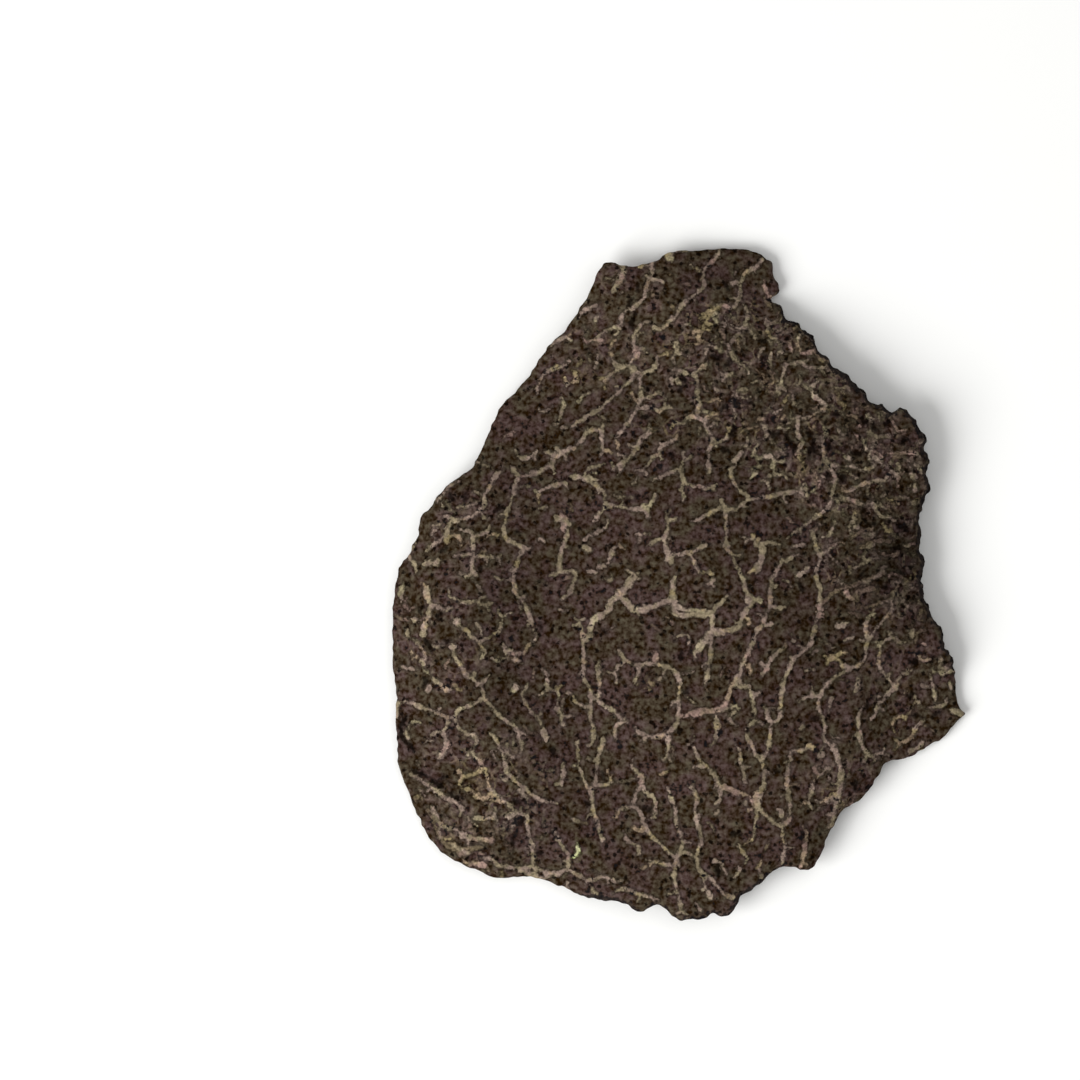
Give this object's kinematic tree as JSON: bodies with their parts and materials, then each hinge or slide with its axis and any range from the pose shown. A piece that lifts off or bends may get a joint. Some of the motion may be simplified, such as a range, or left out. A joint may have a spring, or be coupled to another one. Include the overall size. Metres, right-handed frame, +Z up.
{
  "type": "black truffle slice",
  "caption": "Thin bowed slice of black truffle with dark marbled flesh, pale veins, warty skin on part of its rim and torn edges, lying on low points of its underside.",
  "frame": {"origin": "middle of the bounding box, at its bottom, where the slice rests on the surface", "axes": "+Z up through the slice's thickness, +Y along its longest extent towards the narrow upper end, +X towards the skin side with the pointed corner"},
  "size_m": [0.0404, 0.0472, 0.0048],
  "materials": {
    "truffle": "matt, slightly moist"
  },
  "bodies": {
    "root": {"truffle_slice": "truffle"}
  },
  "joints": []
}
